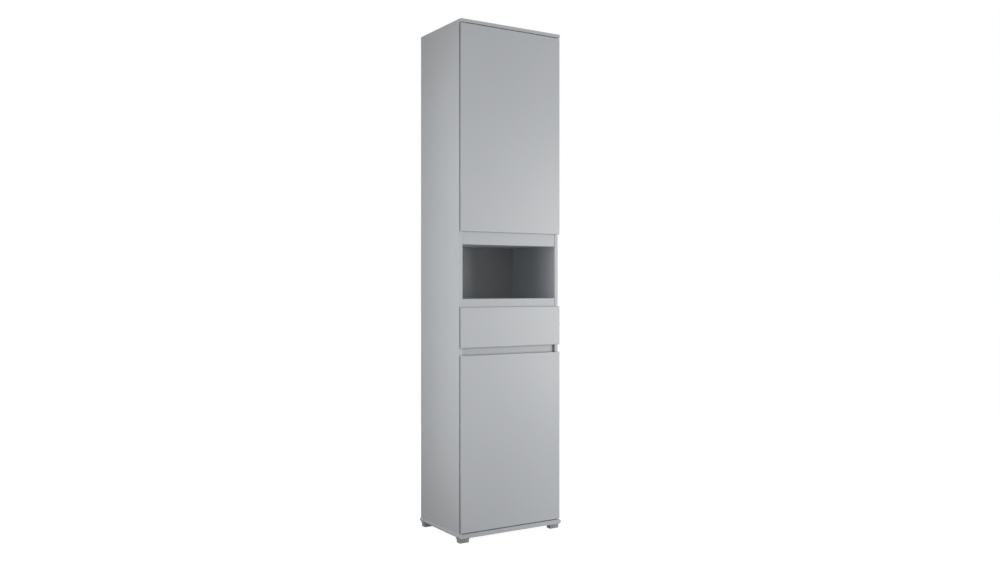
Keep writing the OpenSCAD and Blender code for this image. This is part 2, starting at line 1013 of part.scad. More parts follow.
module drawer_bottom() {
  bottom_x = box_x - drawer_board_t + bottom_groove - touch;
  color(white)
    board([-bottom_x, bottom_x], [y_front_inner, y_box_back],
      [z_bottom + touch, z_bottom + touch + back_t]);
}

// Screws that hold the drawer front to the box
module front_screw_set(grow) {
  for (x = front_screw_x)
    for (z = front_screw_z) {
      rod_y(x, y_front_inner - front_screw_in - grow, z, front_screw_in + drawer_board_t + grow,
        wood_screw_r + grow);
      if (grow == 0)
        rod_y(x, y_front_inner + drawer_board_t, z, wood_head_t, wood_head_r);
    }
}

module drawer_front_screws() {
  color(steel)
    front_screw_set(0);
}

// A cabinet runner in the right-hand place: a channel that is open towards the drawer, with a stop
// bent up at the front end of its track and the riveted axle of its roller ahead of it
module cabinet_runner_body() {
  axle_end = x_in - roller_inset - roller_w - play - axle_head_t;
  difference() {
    union() {
      board([x_in - steel_t, x_in], [y_runner, y_runner + runner_l], [z_track, z_track_top + steel_t]);
      board([x_in - track_reach, x_in], [y_track, y_runner + runner_l], [z_track, z_track + steel_t]);
      board([x_in - track_reach, x_in], [y_track, y_track + steel_t], [z_track, z_track + track_stop_h]);
      board([x_in - track_top_reach, x_in], [y_runner, y_runner + runner_l],
        [z_track_top, z_track_top + steel_t]);
    }
    for (y = runner_screw_y)
      rod_x(x_in - steel_t - 1, y, z_roller, steel_t + 2, wood_screw_r + touch);
  }
  rod_x(axle_end, y_cabinet_roller, z_roller, x_in - axle_end, axle_r);
  rod_x(axle_end, y_cabinet_roller, z_roller, axle_head_t, axle_head_r);
}

module cabinet_runner_right() {
  color(runner_white)
    cabinet_runner_body();
}

module cabinet_runner_left() {
  color(runner_white)
    mirror([1, 0, 0])
      cabinet_runner_body();
}

// A drawer runner in the right-hand place: it holds the drawer side from below and reaches over
// the rollers, with the riveted axle of its own roller at the rear
module drawer_runner_body() {
  web_x = box_x;
  axle_end = x_in - roller_inset + play + axle_head_t;
  difference() {
    union() {
      board([web_x, web_x + steel_t], [y_runner, y_runner + runner_l], [z_box - steel_t, z_lip + steel_t]);
      board([web_x - drawer_board_t, web_x + steel_t], [y_runner, y_runner + runner_l],
        [z_box - steel_t, z_box]);
      board([web_x, lip_x], [y_runner, y_runner + runner_l], [z_lip, z_lip + steel_t]);
    }
    drawer_runner_screw_set(touch);
  }
  rod_x(web_x, y_drawer_roller, z_roller, axle_end - web_x, axle_r);
  rod_x(axle_end - axle_head_t, y_drawer_roller, z_roller, axle_head_t, axle_head_r);
}

module drawer_runner_right() {
  color(runner_white)
    drawer_runner_body();
}

module drawer_runner_left() {
  color(runner_white)
    mirror([1, 0, 0])
      drawer_runner_body();
}

// A roller with a running bore and a shallow groove turned in each face
module roller(y) {
  color(nylon)
    translate([roller_x, y, z_roller])
      rotate([0, 90, 0])
        difference() {
          cylinder(h = roller_w, r = roller_r, center = true);
          cylinder(h = roller_w + 2, r = axle_r + bore_play, center = true);
          for (s = [-1, 1])
            translate([0, 0, s * roller_w / 2])
              difference() {
                cylinder(h = 2 * roller_groove, r = roller_r - roller_rim, center = true);
                cylinder(h = 3 * roller_groove, r = axle_head_r + roller_hub, center = true);
              }
        }
}

module cabinet_roller_right() {
  roller(y_cabinet_roller);
}

module cabinet_roller_left() {
  mirror([1, 0, 0])
    roller(y_cabinet_roller);
}

module drawer_roller_right() {
  roller(y_drawer_roller);
}

module drawer_roller_left() {
  mirror([1, 0, 0])
    roller(y_drawer_roller);
}

// Screws that hold the cabinet runners to the side panels
module runner_screws() {
  color(steel)
    both_sides()
      for (y = runner_screw_y) {
        rod_x(x_in - steel_t, y, z_roller, steel_t + wood_screw_l - 1, wood_screw_r);
        rod_x(x_in - steel_t - runner_head_t, y, z_roller, runner_head_t, wood_head_r);
      }
}

// Screws that hold the drawer runners to the drawer sides, on the right half
module drawer_runner_screw_set(grow) {
  for (y = drawer_screw_y)
    rod_z(box_x - drawer_board_t / 2, y, z_box - steel_t - grow, steel_t + drawer_screw_in + 2 * grow,
      drawer_screw_r + grow);
}

module drawer_runner_screws() {
  color(steel)
    both_sides() {
      drawer_runner_screw_set(0);
      for (y = drawer_screw_y)
        rod_z(box_x - drawer_board_t / 2, y, z_box - steel_t - drawer_screw_head_t,
          drawer_screw_head_t, drawer_screw_head_r);
    }
}

// A foot: a plate under the base and a slightly smaller block on the floor
module foot(x, y) {
  color(foot_grey)
    difference() {
      union() {
        board([x - foot_w / 2, x + foot_w / 2], [y - foot_d / 2, y + foot_d / 2],
          [z_base - foot_plate_t, z_base]);
        board([x - foot_w / 2 + foot_step, x + foot_w / 2 - foot_step],
          [y - foot_d / 2 + foot_step, y + foot_d / 2 - foot_step], [0, z_base - foot_plate_t]);
      }
      for (s = [-1, 1]) {
        rod_z(x + s * foot_screw_x, y, -1, foot_h + 2, wood_screw_r + bore_play);
        rod_z(x + s * foot_screw_x, y, -1, foot_h - foot_plate_t + 1, foot_recess_r);
      }
    }
}

module foot_front_left() {
  foot(-foot_x, foot_y_front);
}

module foot_front_right() {
  foot(foot_x, foot_y_front);
}

module foot_back_left() {
  foot(-foot_x, foot_y_back);
}

module foot_back_right() {
  foot(foot_x, foot_y_back);
}

module foot_screw_set(grow) {
  both_sides()
    for (y = [foot_y_front, foot_y_back])
      for (s = [-1, 1]) {
        rod_z(foot_x + s * foot_screw_x, y, z_base - foot_plate_t,
          foot_plate_t + foot_screw_in + grow, wood_screw_r + grow);
        if (grow == 0)
          rod_z(foot_x + s * foot_screw_x, y, z_base - foot_plate_t - wood_head_t, wood_head_t,
            wood_head_r);
      }
}

module foot_screws() {
  color(steel)
    foot_screw_set(0);
}

// An angle under the top panel whose rear leg has the hole for the wall screw
module wall_bracket() {
  color(steel)
    difference() {
      union() {
        board([-bracket_w / 2, bracket_w / 2], [y_boards - bracket_leg, y_boards],
          [z_top - bracket_t, z_top]);
        board([-bracket_w / 2, bracket_w / 2], [y_boards - bracket_t, y_boards],
          [z_top - bracket_leg, z_top]);
      }
      rod_y(0, y_boards - bracket_t - 1, z_wall_hole, bracket_t + 2, wall_hole_d / 2);
      bracket_screw_set(touch);
    }
}

module bracket_screw_set(grow) {
  for (s = [-1, 1]) {
    rod_z(s * bracket_screw_x, y_boards - bracket_leg / 2, z_top - bracket_t - grow,
      bracket_t + bracket_screw_in + 2 * grow, wood_screw_r + grow);
    if (grow == 0)
      rod_z(s * bracket_screw_x, y_boards - bracket_leg / 2, z_top - bracket_t - wood_head_t,
        wood_head_t, wood_head_r);
  }
}

module bracket_screws() {
  color(steel)
    bracket_screw_set(0);
}

side_panel_left();
side_panel_right();
top_panel();
base_panel();
niche_lintel_board();
niche_lintel_rail();
niche_sill_board();
niche_sill_rail();
divider_board();
grip_rail();
back_panel_upper();
back_panel_lower();
back_panel_nails();
upper_shelf_boards();
lower_shelf_board();
shelf_pins();
wood_dowels();
cam_discs();
cam_bolts();
upper_door();
lower_door();
upper_hinge_cups();
lower_hinge_cups();
upper_hinge_pins();
lower_hinge_pins();
upper_cup_screws();
lower_cup_screws();
hinge_arms();
mounting_plates();
plate_screws();
hinge_fixing_screws();
upper_door_bumpers();
lower_door_bumpers();
drawer_front();
drawer_side_left();
drawer_side_right();
drawer_inner_front();
drawer_back();
drawer_bottom();
drawer_front_screws();
drawer_bumpers();
cabinet_runner_left();
cabinet_runner_right();
drawer_runner_left();
drawer_runner_right();
cabinet_roller_left();
cabinet_roller_right();
drawer_roller_left();
drawer_roller_right();
runner_screws();
drawer_runner_screws();
foot_front_left();
foot_front_right();
foot_back_left();
foot_back_right();
foot_screws();
wall_bracket();
bracket_screws();
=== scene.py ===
import json
import math

import bmesh
import bpy
from mathutils import Matrix, Vector


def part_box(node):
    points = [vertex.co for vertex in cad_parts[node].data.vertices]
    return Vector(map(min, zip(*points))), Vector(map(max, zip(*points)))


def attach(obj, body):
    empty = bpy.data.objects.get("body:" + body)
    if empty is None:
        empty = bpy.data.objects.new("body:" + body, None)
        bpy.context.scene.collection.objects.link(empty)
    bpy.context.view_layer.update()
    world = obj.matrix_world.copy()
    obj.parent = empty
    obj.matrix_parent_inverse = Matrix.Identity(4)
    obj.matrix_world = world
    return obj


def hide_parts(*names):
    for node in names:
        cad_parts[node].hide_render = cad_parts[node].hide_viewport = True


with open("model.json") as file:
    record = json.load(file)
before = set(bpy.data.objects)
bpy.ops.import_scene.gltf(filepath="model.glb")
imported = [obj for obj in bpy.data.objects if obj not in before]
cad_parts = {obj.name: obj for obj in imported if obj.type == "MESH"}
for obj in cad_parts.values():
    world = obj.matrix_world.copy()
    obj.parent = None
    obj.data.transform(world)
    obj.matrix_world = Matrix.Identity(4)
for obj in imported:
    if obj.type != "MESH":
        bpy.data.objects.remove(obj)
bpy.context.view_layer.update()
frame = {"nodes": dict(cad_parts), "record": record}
nodes = frame["nodes"]

# The camera stands at the cabinet's front left and looks level, a little over the niche's floor

LENS = 34.0
SENSOR = 36.0
LENS_SHIFT = 0.004
YAW = 31.93
EYE = (-1.901, -3.123, 0.936)
NEAR = 0.05
FAR = 60

camera_data = bpy.data.cameras.new("camera")
camera_data.lens = LENS
camera_data.sensor_width = SENSOR
camera_data.sensor_fit = "HORIZONTAL"
camera_data.shift_y = LENS_SHIFT
camera_data.clip_start = NEAR
camera_data.clip_end = FAR
camera = bpy.data.objects.new("camera", camera_data)
camera.location = EYE
camera.rotation_euler = (math.radians(90), 0, math.radians(-YAW))
bpy.context.scene.collection.objects.link(camera)
bpy.context.scene.camera = camera
bpy.context.scene.view_settings.view_transform = "Standard"


# Shader trees

class Value:
    """A shader socket in a plain sum with other sockets or numbers"""

    def __init__(self, graph, socket):
        self.graph = graph
        self.socket = socket

    def _sum(self, operation, a, b):
        return self.graph.node("ShaderNodeMath", {"operation": operation}, {0: a, 1: b}).out(0)

    def __add__(self, other):
        return self._sum("ADD", self, other)

    __radd__ = __add__

    def __sub__(self, other):
        return self._sum("SUBTRACT", self, other)

    def __rsub__(self, other):
        return self._sum("SUBTRACT", other, self)

    def __mul__(self, other):
        return self._sum("MULTIPLY", self, other)

    __rmul__ = __mul__

    def above(self, edge):
        return self._sum("GREATER_THAN", self, edge)

    def below(self, edge):
        return self._sum("LESS_THAN", self, edge)

    def least(self, other):
        return self._sum("MINIMUM", self, other)

    def most(self, other):
        return self._sum("MAXIMUM", self, other)

    def smooth(self, low, high):
        """0 under low, 1 over high, soft between"""
        settings = {"interpolation_type": "SMOOTHSTEP"}
        inputs = {"Value": self, "From Min": low, "From Max": high}
        return self.graph.node("ShaderNodeMapRange", settings, inputs).out(0)


class Made:
    """A shader node that a graph has made"""

    def __init__(self, graph, made):
        self.graph = graph
        self.made = made

    def out(self, name):
        return Value(self.graph, self.made.outputs[name])


class Graph:
    """One shader tree"""

    def __init__(self, tree):
        self.tree = tree

    def put(self, made, inputs):
        """Sets the inputs of a node, or links those whose value is a socket"""
        for key, value in inputs.items():
            if isinstance(value, Value):
                self.tree.links.new(value.socket, made.inputs[key])
            else:
                made.inputs[key].default_value = value

    def node(self, kind, settings=None, inputs=None):
        made = self.tree.nodes.new(kind)
        for key, value in (settings or {}).items():
            setattr(made, key, value)
        self.put(made, inputs or {})
        return Made(self, made)


class Paint(Graph):
    """A material with a Principled shader whose plain sockets are set by keyword"""

    def __init__(self, name, **plain):
        self.material = bpy.data.materials.new(name)
        self.material.use_nodes = True
        super().__init__(self.material.node_tree)
        self.shader = self.tree.nodes["Principled BSDF"]
        self.put(self.shader, plain)

    def feed(self, socket, value):
        self.put(self.shader, {socket: value})

    def place(self, scale=(1, 1, 1)):
        """The object's own place in metres, stretched by scale"""
        where = self.node("ShaderNodeTexCoord").out("Object")
        if scale == (1, 1, 1):
            return where
        return self.node("ShaderNodeMapping", {}, {"Vector": where, "Scale": scale}).out("Vector")

    def axes(self):
        """The object's own x, y and z in metres"""
        split = self.node("ShaderNodeSeparateXYZ", {}, {0: self.place()})
        return [split.out(axis) for axis in range(3)]

    def noise(self, size, detail=2.0, rough=0.5, scale=(1, 1, 1)):
        """Noise whose lumps are about size metres"""
        inputs = {
            "Vector": self.place(scale),
            "Scale": 1 / size,
            "Detail": detail,
            "Roughness": rough,
        }
        return self.node("ShaderNodeTexNoise", {}, inputs).out(0)

    def mix(self, share, a, b):
        """Colour a where share is 0 and colour b where it is 1"""
        settings = {"data_type": "RGBA", "clamp_factor": True}
        return self.node("ShaderNodeMix", settings, {0: share, 6: a, 7: b}).out(2)

    def bump(self, height, depth, strength):
        inputs = {"Height": height, "Distance": depth, "Strength": strength}
        self.feed("Normal", self.node("ShaderNodeBump", {}, inputs).out("Normal"))


def grey(level, tint=0.0):
    """An opaque colour at a linear level, tinted towards blue"""
    return (level * (1 - tint), level, level * (1 + tint), 1)


# Finishes: linear colours, levels of grey, and sizes in metres

TINT = 0.035
CARCASS_LEVEL = 0.55
CARCASS_ROUGHNESS = 0.48
FILM_LEVEL = 0.42
FILM_ROUGHNESS = 0.52
BAND_LEVEL = 0.93
CHIP_DARK = (0.30, 0.21, 0.13, 1)
CHIP_LIGHT = (0.56, 0.45, 0.31, 1)
FIBRE_DARK = (0.17, 0.10, 0.055, 1)
FIBRE_LIGHT = (0.27, 0.175, 0.10, 1)
ZINC_DARK = (0.52, 0.53, 0.55, 1)
ZINC_LIGHT = (0.66, 0.67, 0.69, 1)
BEECH_DARK = (0.50, 0.33, 0.18, 1)
BEECH_LIGHT = (0.66, 0.47, 0.29, 1)

CLOUD_SIZE = 0.22
SPECK_SIZE = 0.0012
PEEL_SIZE = 0.0035
PEARL_SWING = 0.03

SKIN = 0.0008
RAW_SKIN = 0.0002
BAND = 0.0009
CHIP_SIZE = 0.0016
FIBRE_SIZE = 0.0028
FIBRE_CLOUD_SIZE = 0.12
BRUSH_SIZE = 0.0012
ZINC_CLOUD_SIZE = 0.012
GRAIN_SIZE = 0.0007
PLASTIC_CLOUD_SIZE = 0.02
RING_SIZE = 0.0016

BOARD_BUMP = 0.00012
FIBRE_BUMP = 0.00015
BOARD_BUMP_STRENGTH = 0.35
BRUSH_BUMP = 0.00005
BRUSH_BUMP_STRENGTH = 0.3
GRAIN_BUMP = 0.00008
RING_BUMP = 0.0001
FINE_BUMP_STRENGTH = 0.4

# What the noise adds to a roughness on average
NOISE_ADDS = 0.07


def melamine(paint, level, roughness):
    """Pearl-textured melamine: its clouded colour, satin roughness and the height of its peel"""
    clouds = paint.noise(CLOUD_SIZE, 3.0)
    specks = paint.noise(SPECK_SIZE)
    tone = clouds.smooth(0.25, 0.75) * 0.6 + specks * 0.4
    dark, light = (grey(level * (1 + swing), TINT) for swing in (-PEARL_SWING, PEARL_SWING))
    rough = specks * 0.10 + clouds * 0.05 + (roughness - NOISE_ADDS)
    return paint.mix(tone, dark, light), rough, specks * 0.7 + paint.noise(PEEL_SIZE, 1.0) * 0.3


def laminated(node, level=CARCASS_LEVEL, roughness=CARCASS_ROUGHNESS, cut_from=None, cut_to=None,
              raw_rear=False):
    """Melamine on a board's faces, an edge band in front, chipboard where it is cut or drilled"""
    low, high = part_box(node)
    paint = Paint(node + "_board", IOR=1.48)
    colour, rough, height = melamine(paint, level, roughness)
    x, y, z = paint.axes()
    depth = (x - low[0]).least(high[0] - x)
    for place, axis in ((y, 1), (z, 2)):
        depth = depth.least((place - low[axis]).least(high[axis] - place))
    cut = depth.above(SKIN)
    if cut_from is not None:
        cut = cut * x.above(cut_from)
    if cut_to is not None:
        cut = cut * x.below(cut_to)
    if raw_rear:
        cut = cut.most(y.above(high[1] - RAW_SKIN))
    band = (y - low[1]).below(BAND)
    colour = paint.mix(band * 0.5, colour, grey(level * BAND_LEVEL, TINT))
    chips = paint.noise(CHIP_SIZE, 3.0, 0.7, (1, 1, 2.5))
    chip_colour = paint.mix(chips.smooth(0.3, 0.7), CHIP_DARK, CHIP_LIGHT)
    paint.feed("Base Color", paint.mix(cut, colour, chip_colour))
    paint.feed("Roughness", (rough - band * 0.06) * (1 - cut) + cut * 0.85)
    paint.bump(height * (1 - cut) + chips * cut * 2.0, BOARD_BUMP, BOARD_BUMP_STRENGTH)
    return paint.material


def hardboard(node, axis, above):
    """Hardboard with a light film, and brown fibres on the face at one end of an axis"""
    low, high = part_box(node)
    paint = Paint(node + "_hardboard", IOR=1.46)
    film, rough, height = melamine(paint, FILM_LEVEL, FILM_ROUGHNESS)
    place = paint.axes()[axis]
    raw = place.above(high[axis] - RAW_SKIN) if above else place.below(low[axis] + RAW_SKIN)
    fibres = paint.noise(FIBRE_SIZE, 4.0, 0.65)
    tone = fibres.smooth(0.3, 0.7) * 0.7 + paint.noise(FIBRE_CLOUD_SIZE) * 0.3
    paint.feed("Base Color", paint.mix(raw, film, paint.mix(tone, FIBRE_DARK, FIBRE_LIGHT)))
    paint.feed("Roughness", rough * (1 - raw) + raw * (fibres * 0.2 + 0.45))
    paint.bump(height * (1 - raw) + fibres * raw, FIBRE_BUMP, BOARD_BUMP_STRENGTH)
    return paint.material


def whole_melamine(name):
    """Melamine all over, for a node that holds several boards"""
    paint = Paint(name, IOR=1.48)
    colour, rough, height = melamine(paint, CARCASS_LEVEL, CARCASS_ROUGHNESS)
    paint.feed("Base Color", colour)
    paint.feed("Roughness", rough)
    paint.bump(height, BOARD_BUMP, BOARD_BUMP_STRENGTH)
    return paint.material


def zinc(name):
    paint = Paint(name, Metallic=1.0)
    brushed = paint.noise(BRUSH_SIZE, 3.0, 0.6, (1, 1, 0.2))
    clouds = paint.noise(ZINC_CLOUD_SIZE)
    paint.feed("Base Color", paint.mix(clouds, ZINC_DARK, ZINC_LIGHT))
    paint.feed("Roughness", brushed * 0.2 + clouds * 0.1 + 0.2)
    paint.bump(brushed, BRUSH_BUMP, BRUSH_BUMP_STRENGTH)
    return paint.material


def plastic(name, colour, shade, roughness):
    paint = Paint(name, IOR=1.49)
    grain = paint.noise(GRAIN_SIZE)
    paint.feed("Base Color", paint.mix(paint.noise(PLASTIC_CLOUD_SIZE), colour, shade))
    paint.feed("Roughness", grain * 0.15 + (roughness - NOISE_ADDS))
    paint.bump(grain, GRAIN_BUMP, FINE_BUMP_STRENGTH)
    return paint.material


def beech_wood(name):
    paint = Paint(name, IOR=1.45)
    rings = paint.noise(RING_SIZE, 3.0, 0.6, (0.1, 1, 1))
    paint.feed("Base Color", paint.mix(rings, BEECH_DARK, BEECH_LIGHT))
    paint.feed("Roughness", rings * 0.2 + 0.5)
    paint.bump(rings, RING_BUMP, FINE_BUMP_STRENGTH)
    return paint.material


# Finishes of the CAD solids; each board says how it differs from the carcass boards

DRAWER_BOX = {"level": 0.60, "roughness": 0.5}
FRONT = {"level": 0.56, "roughness": 0.42}
GRIP_BEVEL = 0.0095
ROUND_END = 0.0085

base_low, base_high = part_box("base_panel")
boards = {
    "side_panel_left": {"raw_rear": True},
    "side_panel_right": {"raw_rear": True},
    "top_panel": {"raw_rear": True},
    "base_panel": {
        "raw_rear": True,
        "cut_from": base_low[0] + ROUND_END,
        "cut_to": base_high[0] - ROUND_END,
    },
    "niche_lintel_board": {},
    "niche_lintel_rail": {},
    "niche_sill_board": {},
    "niche_sill_rail": {},
    "divider_board": {},
    "grip_rail": {},
    "lower_shelf_board": {},
}
for name in ("drawer_side_left", "drawer_side_right", "drawer_inner_front", "drawer_back"):
    boards[name] = DRAWER_BOX
for name in ("upper_door", "lower_door", "drawer_front"):
    boards[name] = {**FRONT, "cut_from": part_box(name)[0][0] + GRIP_BEVEL}

finishes = {
    "carcass_board": whole_melamine("shelf_melamine"),
    "beech": beech_wood("dowel_beech"),
    "zinc_steel": zinc("zinc_plate"),
    "runner_enamel": plastic("runner_enamel", grey(0.72), grey(0.68), 0.3),
    "nylon": plastic("roller_nylon", grey(0.74), grey(0.68), 0.4),
    "foot_plastic": plastic("foot_plastic", grey(0.33, 0.02), grey(0.38, 0.02), 0.5),
    "clear_bumper": plastic("bumper_pad", grey(0.62), grey(0.55), 0.25),
}
slot_of = {part["node"]: part["material_slot"] for part in frame["record"]["subparts"]}
for name, slot in slot_of.items():
    if name in boards:
        finish = laminated(name, **boards[name])
    elif name == "drawer_bottom":
        finish = hardboard(name, 2, False)
    elif slot == "back_board":
        finish = hardboard(name, 1, True)
    else:
        finish = finishes[slot]
    mesh = nodes[name].data
    mesh.materials.clear()
    mesh.materials.append(finish)


# Fine hardware, which stands for the plain CAD solids in the same places

SMOOTH_ANGLE = math.radians(35)
WELD = 0.000002
FLAT_ANGLE = math.radians(1.0)
EDGE_ANGLE = math.radians(40)
FACING = 0.9

body_of = {
    name: body
    for body, members in frame["record"]["behaviour"]["bodies"].items()
    for name in members
}


def deselect():
    bpy.ops.object.select_all(action="DESELECT")


def make_active(piece):
    deselect()
    piece.select_set(True)
    bpy.context.view_layer.objects.active = piece


def edit(piece):
    """Opens a piece with all of its mesh selected"""
    make_active(piece)
    bpy.ops.object.mode_set(mode="EDIT")
    bpy.ops.mesh.select_all(action="SELECT")


def done():
    bpy.ops.object.mode_set(mode="OBJECT")


def discard(piece):
    mesh = piece.data
    bpy.data.objects.remove(piece)
    bpy.data.meshes.remove(mesh)


def select_faces(piece, wanted):
    """Selects only the faces that a test of centre and normal wants"""
    bpy.ops.mesh.select_mode(type="FACE")
    bpy.ops.mesh.select_all(action="DESELECT")
    shape = bmesh.from_edit_mesh(piece.data)
    for face in shape.faces:
        if wanted(face.calc_center_median(), face.normal):
            face.select_set(True)
    bmesh.update_edit_mesh(piece.data)


def apply_modifier(piece, kind, **settings):
    make_active(piece)
    modifier = piece.modifiers.new(kind.lower(), kind)
    for key, value in settings.items():
        setattr(modifier, key, value)
    bpy.ops.object.modifier_apply(modifier=modifier.name)


def put_in(piece, node):
    """Lets a finished piece stand for a CAD solid, on its body and in its finish"""
    make_active(piece)
    bpy.ops.object.shade_smooth_by_angle(angle=SMOOTH_ANGLE)
    piece.data.materials.clear()
    piece.data.materials.append(finishes[slot_of[node]])
    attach(piece, body_of[node])
    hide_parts(node)


def merged_copy(node, name):
    """A copy of a CAD solid with its loose triangles joined to whole faces"""
    piece = bpy.data.objects.new(name, nodes[node].data.copy())
    bpy.context.scene.collection.objects.link(piece)
    edit(piece)
    bpy.ops.mesh.remove_doubles(threshold=WELD)
    bpy.ops.mesh.dissolve_limited(angle_limit=FLAT_ANGLE)
    bpy.ops.mesh.normals_make_consistent(inside=False)
    done()
    return piece


def softened(node, radius, steps=2, shape=None):
    """The solid with its hard edges rounded, as pressed, drawn or moulded hardware has them"""
    piece = merged_copy(node, node + "_rounded")
    if shape:
        edit(piece)
        shape(piece)
        done()
    apply_modifier(piece, "BEVEL", width=radius, segments=steps, limit_method="ANGLE",
                   angle_limit=EDGE_ANGLE)
    put_in(piece, node)


NECK_BEHIND_PIN = 0.0006
NECK_THINNED = 0.0003
BACK_FACING = 0.99
SAME_PLACE = 0.0001


def thin_necks(arms):
    """The back of each arm's neck gives way to the cup's rim, which comes close on an open door"""
    pin_low, pin_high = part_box("lower_hinge_pins")
    back_y = (pin_low[1] + pin_high[1]) / 2 + NECK_BEHIND_PIN

    def is_back(centre, normal):
        return normal.y > BACK_FACING and abs(centre.y - back_y) < SAME_PLACE

    select_faces(arms, is_back)
    bpy.ops.transform.translate(value=(0, -NECK_THINNED, 0))


def solids_of(node):
    """The corners of each separate solid in a CAD node"""
    piece = merged_copy(node, "measured")
    shape = bmesh.new()
    shape.from_mesh(piece.data)
    left = set(shape.verts)
    solids = []
    while left:
        queue = [left.pop()]
        found = []
        while queue:
            corner = queue.pop()
            found.append(corner.co.copy())
            for edge in corner.link_edges:
                other = edge.other_vert(corner)
                if other in left:
                    left.remove(other)
                    queue.append(other)
        solids.append(found)
    shape.free()
    discard(piece)
    return solids


# How a plain screw is measured: shares of the head's radius, and a length in metres

HEAD_FROM = 0.97
SHANK_UNDER = 0.8
SAME_END = 0.00001


def screw_place(corners):
    """Where a screw's head ends, the way it faces, and the radii and lengths of head and shank"""
    lows, highs = ([pick(corner[axis] for corner in corners) for axis in range(3)]
                   for pick in (min, max))
    size = [high - low for low, high in zip(lows, highs)]
    along = size.index(max(size))
    across = [axis for axis in range(3) if axis != along]
    middle = [(low + high) / 2 for low, high in zip(lows, highs)]

    def reach(corner):
        return math.hypot(*(corner[axis] - middle[axis] for axis in across))

    head_r = max(reach(corner) for corner in corners)
    wide = [corner[along] for corner in corners if reach(corner) > head_r * HEAD_FROM]
    shank_r = max(reach(corner) for corner in corners if reach(corner) < head_r * SHANK_UNDER)
    head_t = max(wide) - min(wide)
    faces_up = highs[along] - max(wide) < SAME_END
    middle[along] = highs[along] if faces_up else lows[along]
    way = Vector((0, 0, 0))
    way[along] = 1 if faces_up else -1
    return Vector(middle), way, head_r, head_t, shank_r, size[along]


# A driven screw. Its tip is a share of the shank's radius; of the rest, heights and depths are
# shares of the head's thickness, and lengths and widths of its radius

HEAD_SIDES = 32
RIM_HEIGHT = 0.5
DOME_STEPS = ((0.16, 0.32), (0.22, 0.14), (0.2, 0.04))
TIP_LENGTH = 1.2
TIP_END = 0.25
CROSS_LENGTH = 1.1
CROSS_WIDTH = 0.24
CROSS_DEPTH = 0.8
CROSS_FOOT = (0.55, 0.7, 1)
SLOT_LENGTH = 1.7
SLOT_WIDTH = 0.3
SLOT_DEPTH = 0.55
SLOT_BEVEL = 0.04
# Each screw of a node is turned this many degrees on from the one before
TURN_STEP = 37


def cutting_bar(length, width, depth):
    """A bar through the origin, left open for editing"""
    deselect()
    bpy.ops.mesh.primitive_cube_add(size=1, location=(0, 0, 0))
    bar = bpy.context.object
    edit(bar)
    bpy.ops.transform.resize(value=(length, width, depth * 2))
    return bar


def cross_cutters(head_r, depth):
    """A cross with tapered arms that a screwdriver's tip would leave"""
    arms = []
    for turn in (0, 90):
        arm = cutting_bar(head_r * CROSS_LENGTH, head_r * CROSS_WIDTH, depth)
        select_faces(arm, lambda centre, normal: normal.z < -FACING)
        bpy.ops.transform.resize(value=CROSS_FOOT)
        bpy.ops.mesh.select_all(action="SELECT")
        bpy.ops.transform.rotate(value=math.radians(turn), orient_axis="Z",
                                 center_override=(0, 0, 0))
        done()
        arms.append(arm)
    return arms


def slot_cutters(head_r, depth):
    bar = cutting_bar(head_r * SLOT_LENGTH, head_r * SLOT_WIDTH, depth)
    bpy.ops.mesh.bevel(offset=head_r * SLOT_BEVEL, segments=1)
    done()
    return [bar]


def screw_shape(head_r, head_t, shank_r, length, slotted):
    """A screw with a domed head and a tip; the top of the head is at the origin"""
    deselect()
    rim_t = head_t * RIM_HEIGHT
    bpy.ops.mesh.primitive_cylinder_add(vertices=HEAD_SIDES, radius=head_r, depth=rim_t,
                                        location=(0, 0, 0))
    screw = bpy.context.object
    edit(screw)
    bpy.ops.transform.translate(value=(0, 0, rim_t / 2 - head_t))
    select_faces(screw, lambda centre, normal: normal.z > FACING)
    for inward, upward in DOME_STEPS:
        bpy.ops.mesh.inset(thickness=head_r * inward, depth=head_t * upward)
    select_faces(screw, lambda centre, normal: normal.z < -FACING)
    bpy.ops.mesh.inset(thickness=head_r - shank_r)
    tip = shank_r * TIP_LENGTH
    shank = length - head_t - tip
    for step in (shank, tip):
        bpy.ops.mesh.extrude_region_move(TRANSFORM_OT_translate={"value": (0, 0, -step)})
    bpy.ops.transform.resize(value=(TIP_END, TIP_END, 1))
    done()
    if slotted:
        cutters = slot_cutters(head_r, head_t * SLOT_DEPTH)
    else:
        cutters = cross_cutters(head_r, head_t * CROSS_DEPTH)
    for cutter in cutters:
        apply_modifier(screw, "BOOLEAN", operation="DIFFERENCE", solver="EXACT", object=cutter)
        discard(cutter)
    return screw


def screws(node, slotted=False):
    """Screws with driven heads in the places of a node's plain ones"""
    places = [screw_place(corners) for corners in solids_of(node)]
    model = screw_shape(*places[0][2:], slotted)
    copies = []
    for count, (top, way, *_) in enumerate(places):
        turn = Matrix.Rotation(math.radians(TURN_STEP * count), 4, "Z")
        aim = way.to_track_quat("Z", "Y").to_matrix().to_4x4()
        copy = bpy.data.objects.new(node + "_driven", model.data.copy())
        copy.data.transform(Matrix.Translation(top) @ aim @ turn)
        bpy.context.scene.collection.objects.link(copy)
        copies.append(copy)
    discard(model)
    make_active(copies[0])
    for copy in copies:
        copy.select_set(True)
    bpy.ops.object.join()
    put_in(copies[0], node)


for name in ("upper_cup_screws", "lower_cup_screws", "plate_screws", "drawer_front_screws",
             "runner_screws", "drawer_runner_screws", "foot_screws", "bracket_screws"):
    screws(name)
screws("hinge_fixing_screws", slotted=True)

CUP_EDGE = 0.0002
STEEL_EDGE = 0.0003
DISC_EDGE = 0.0004
PIN_EDGE = 0.0005
MOULDED_EDGE = 0.0008
MOULDED_STEPS = 3

